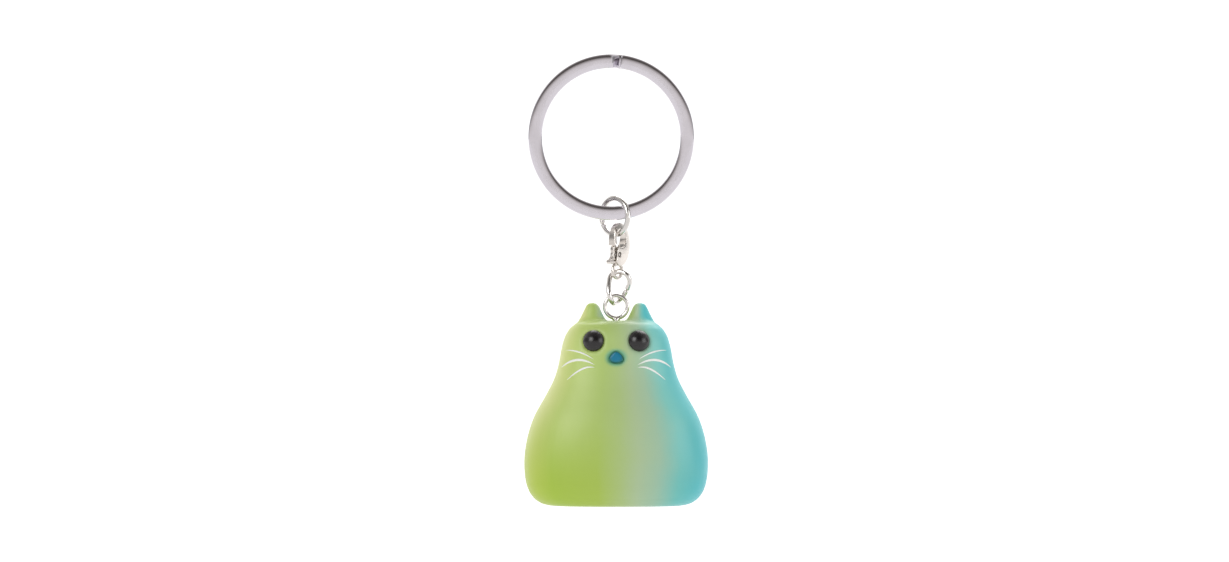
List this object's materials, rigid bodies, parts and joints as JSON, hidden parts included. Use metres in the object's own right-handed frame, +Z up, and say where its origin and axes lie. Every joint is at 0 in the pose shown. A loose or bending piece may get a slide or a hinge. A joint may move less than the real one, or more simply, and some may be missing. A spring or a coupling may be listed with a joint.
{
  "type": "keychain with moulded animal figure",
  "caption": "Key ring with jump ring, lobster clasp and twisted link carrying a hollow moulded animal figure with two ears.",
  "frame": {"origin": "inside top of the split ring, where the key ring hangs on a hook; the ring lies in the XZ plane", "axes": "+X to the right in the front view, -Y out of the face towards the viewer, +Z up"},
  "size_m": [0.0334, 0.0206, 0.0816],
  "materials": {
    "ring_steel": "bright nickel plate on flat steel strip",
    "bright_wire": "bright nickel plate on round wire",
    "clasp_metal": "bright nickel plate on cast zinc",
    "gate_metal": "bright nickel plate",
    "pin_metal": "plain steel rivet",
    "spring_steel": "bright spring wire",
    "link_wire": "bright nickel plate on round wire",
    "screw_metal": "bright nickel plate",
    "figure_skin": "satin moulded vinyl, lime green with blue-green sprayed from the right",
    "plug_plastic": "satin moulded plastic",
    "eye_black": "high gloss black",
    "nose_blue": "satin blue"
  },
  "bodies": {
    "key_ring": {"split_ring": "ring_steel"},
    "jump": {"jump_ring": "bright_wire"},
    "clasp": {"clasp_body": "clasp_metal", "clasp_pin": "pin_metal", "clasp_spring": "spring_steel"},
    "gate": {"clasp_gate": "gate_metal"},
    "link": {"chain_link": "link_wire"},
    "figure": {"screw_eye": "screw_metal", "body_shell": "figure_skin", "base_plug": "plug_plastic", "left_eye": "eye_black", "right_eye": "eye_black", "nose": "nose_blue"}
  },
  "joints": [
    {"name": "ring_orbit", "type": "hinge", "parent": "key_ring", "child": "jump", "pos_m": [0, 0, -0.0125], "axis": [0, 1, 0], "continuous": true},
    {"name": "clasp_swing", "type": "hinge", "parent": "jump", "child": "clasp", "pos_m": [0.00104, -0.00038, -0.03006], "axis": [0.7096, -0.6852, 0.1643], "range_deg": [-50, 50]},
    {"name": "gate_open", "type": "hinge", "parent": "clasp", "child": "gate", "pos_m": [0.00092, -0.00054, -0.0337], "axis": [-0.788, 0.6157, 0], "range_deg": [0, 30], "stiffness_Nm_per_rad": 0.0015, "springref_deg": -22.92},
    {"name": "link_swing", "type": "hinge", "parent": "clasp", "child": "link", "pos_m": [0.0011, -0.0003, -0.03797], "axis": [0.6157, 0.788, 0], "range_deg": [-20, 20]},
    {"name": "figure_swing", "type": "hinge", "parent": "link", "child": "figure", "pos_m": [0.00044, -0.0003, -0.04252], "axis": [0.3462, 0.9336, -0.0927], "range_deg": [-10, 45]}
  ]
}
